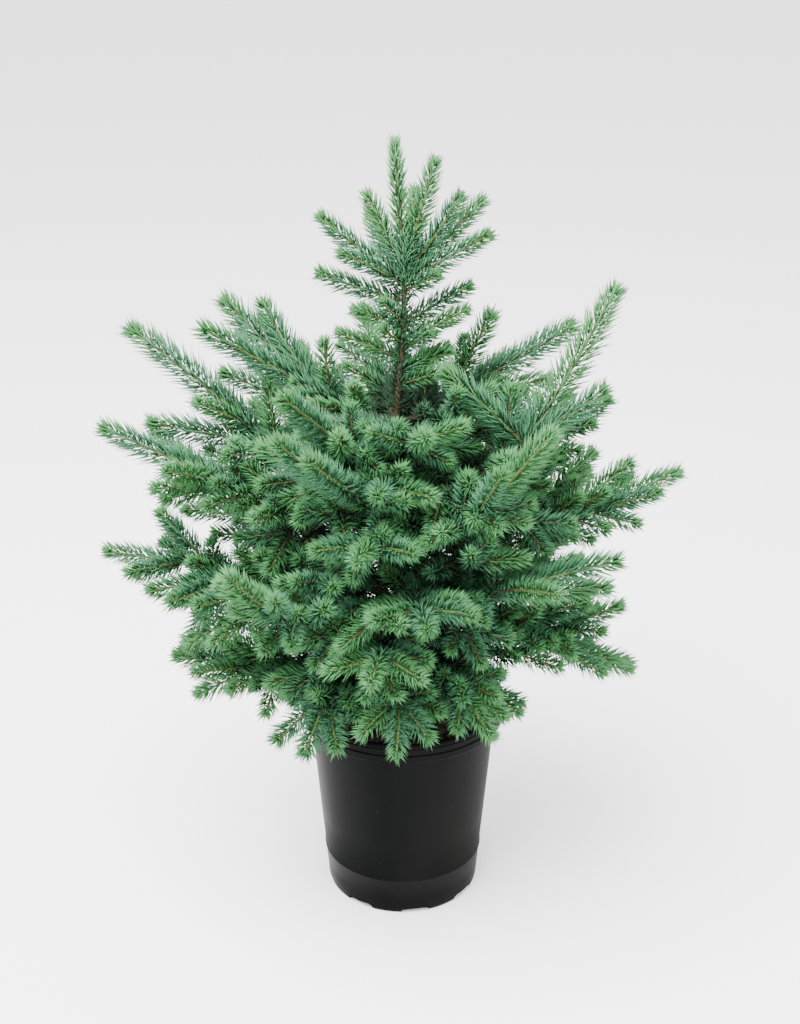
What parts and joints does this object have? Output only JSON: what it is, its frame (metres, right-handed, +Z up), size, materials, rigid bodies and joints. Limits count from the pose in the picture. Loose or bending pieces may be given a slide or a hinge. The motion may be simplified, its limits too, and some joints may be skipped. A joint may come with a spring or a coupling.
{
  "type": "potted blue spruce",
  "caption": "Young blue spruce with a bare-stemmed top, whorled boughs of bluish green needles and a round black nursery pot.",
  "frame": {"origin": "centre of the pot's flat underside", "axes": "+Z up along the trunk, -Y the side that faces the viewer, +X to that viewer's right"},
  "size_m": [0.6184, 0.5375, 0.84],
  "materials": {
    "pot_plastic": "black moulded polypropylene, satin, dusty, with fine scuffs",
    "compost": "dark bark compost with chips",
    "bark": "golden brown young bark with needle pegs",
    "needles": "waxy blue-green needles, lighter at the shoot tips"
  },
  "bodies": {
    "root": {"bough_low_front_left": "bark", "bough_low_front_right": "bark", "bough_low_left": "bark", "bough_low_right": "bark", "bough_mid_back_left": "bark", "bough_mid_back_right": "bark", "bough_mid_front_left": "bark", "bough_mid_front_right": "bark", "bough_mid_left": "bark", "bough_mid_left_riser": "bark", "bough_mid_right": "bark", "bough_mid_right_riser": "bark", "bough_upper_front_left": "bark", "bough_upper_left": "bark", "bough_upper_right": "bark", "needles_core_front": "needles", "needles_leader": "needles", "needles_low_back": "needles", "needles_low_back_left": "needles", "needles_low_back_right": "needles", "needles_low_front": "needles", "needles_low_front_left": "needles", "needles_low_front_right": "needles", "needles_low_left": "needles", "needles_low_left_under": "needles", "needles_low_right": "needles", "needles_mid_back": "needles", "needles_mid_back_left": "needles", "needles_mid_back_right": "needles", "needles_mid_front": "needles", "needles_mid_front_left": "needles", "needles_mid_front_low": "needles", "needles_mid_front_right": "needles", "needles_mid_left": "needles", "needles_mid_left_riser": "needles", "needles_mid_right": "needles", "needles_mid_right_riser": "needles", "needles_skirt_back_left": "needles", "needles_skirt_back_right": "needles", "needles_skirt_front": "needles", "needles_skirt_front_left": "needles", "needles_skirt_front_right": "needles", "needles_skirt_left": "needles", "needles_skirt_right": "needles", "needles_skirt_right_inner": "needles", "needles_stem_left_high": "needles", "needles_stem_left_low": "needles", "needles_stem_right_high": "needles", "needles_stem_right_low": "needles", "needles_top_back": "needles", "needles_top_left": "needles", "needles_top_right": "needles", "needles_upper_back": "needles", "needles_upper_front": "needles", "needles_upper_front_left": "needles", "needles_upper_left": "needles", "needles_upper_right": "needles", "pot": "pot_plastic", "soil": "compost", "trunk": "bark"}
  },
  "joints": []
}
